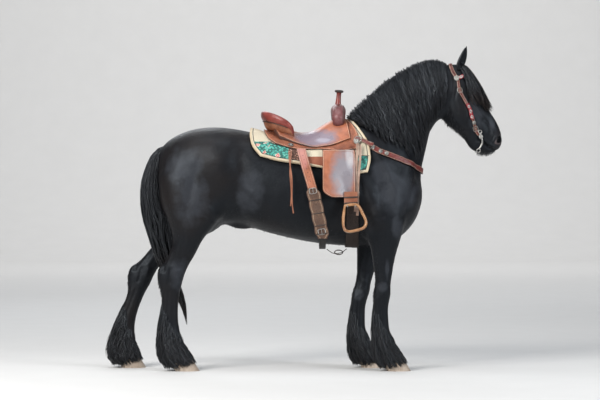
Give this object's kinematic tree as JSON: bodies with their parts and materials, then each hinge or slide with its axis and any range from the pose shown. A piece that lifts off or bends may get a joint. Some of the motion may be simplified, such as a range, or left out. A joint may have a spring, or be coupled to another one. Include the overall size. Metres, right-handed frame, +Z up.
{
  "type": "life-size horse model in western tack",
  "caption": "Black Friesian horse standing still in a western saddle, breast collar and bridle, a life-size display model.",
  "frame": {"origin": "on the floor at the middle of the bounding box, seen from above", "axes": "+X towards the horse's nose, +Y towards its left side, +Z up"},
  "size_m": [2.5566, 0.7498, 2.0643],
  "materials": {
    "black_coat": "short black hair with a soft shine",
    "hoof_horn": "matt grown horn",
    "eye": "wet, dark brown, opaque",
    "tan_leather": "oiled and tooled",
    "red_leather": "polished",
    "dark_leather": "matt",
    "woven_wool": "woven, with cream edges",
    "silver": "polished silver plate",
    "stirrup_wood": "varnished"
  },
  "bodies": {
    "root": {"bit_left": "silver", "bit_right": "silver", "breast_collar": "red_leather", "bridle_browband": "red_leather", "bridle_cheek_left": "red_leather", "bridle_cheek_right": "red_leather", "bridle_concho_left": "silver", "bridle_concho_right": "silver", "bridle_crown": "red_leather", "cinch_link": "dark_leather", "ear_left": "black_coat", "ear_right": "black_coat", "eye_left": "eye", "eye_right": "eye", "fender_left": "tan_leather", "fender_right": "tan_leather", "front_cinch": "dark_leather", "head": "black_coat", "hoof_fore_left": "hoof_horn", "hoof_fore_right": "hoof_horn", "hoof_hind_left": "hoof_horn", "hoof_hind_right": "hoof_horn", "latigo_left": "dark_leather", "latigo_right": "dark_leather", "leg_fore_left": "black_coat", "leg_fore_right": "black_coat", "leg_hind_left": "black_coat", "leg_hind_right": "black_coat", "neck": "black_coat", "rear_billet_left": "tan_leather", "rear_billet_right": "tan_leather", "rear_cinch": "dark_leather", "saddle_cantle": "red_leather", "saddle_horn": "red_leather", "saddle_pad": "woven_wool", "saddle_seat": "tan_leather", "saddle_skirt": "tan_leather", "saddle_string_left": "tan_leather", "saddle_string_right": "tan_leather", "saddle_swell": "red_leather", "stirrup_left": "stirrup_wood", "stirrup_right": "stirrup_wood", "tail": "black_coat", "torso": "black_coat"}
  },
  "joints": []
}
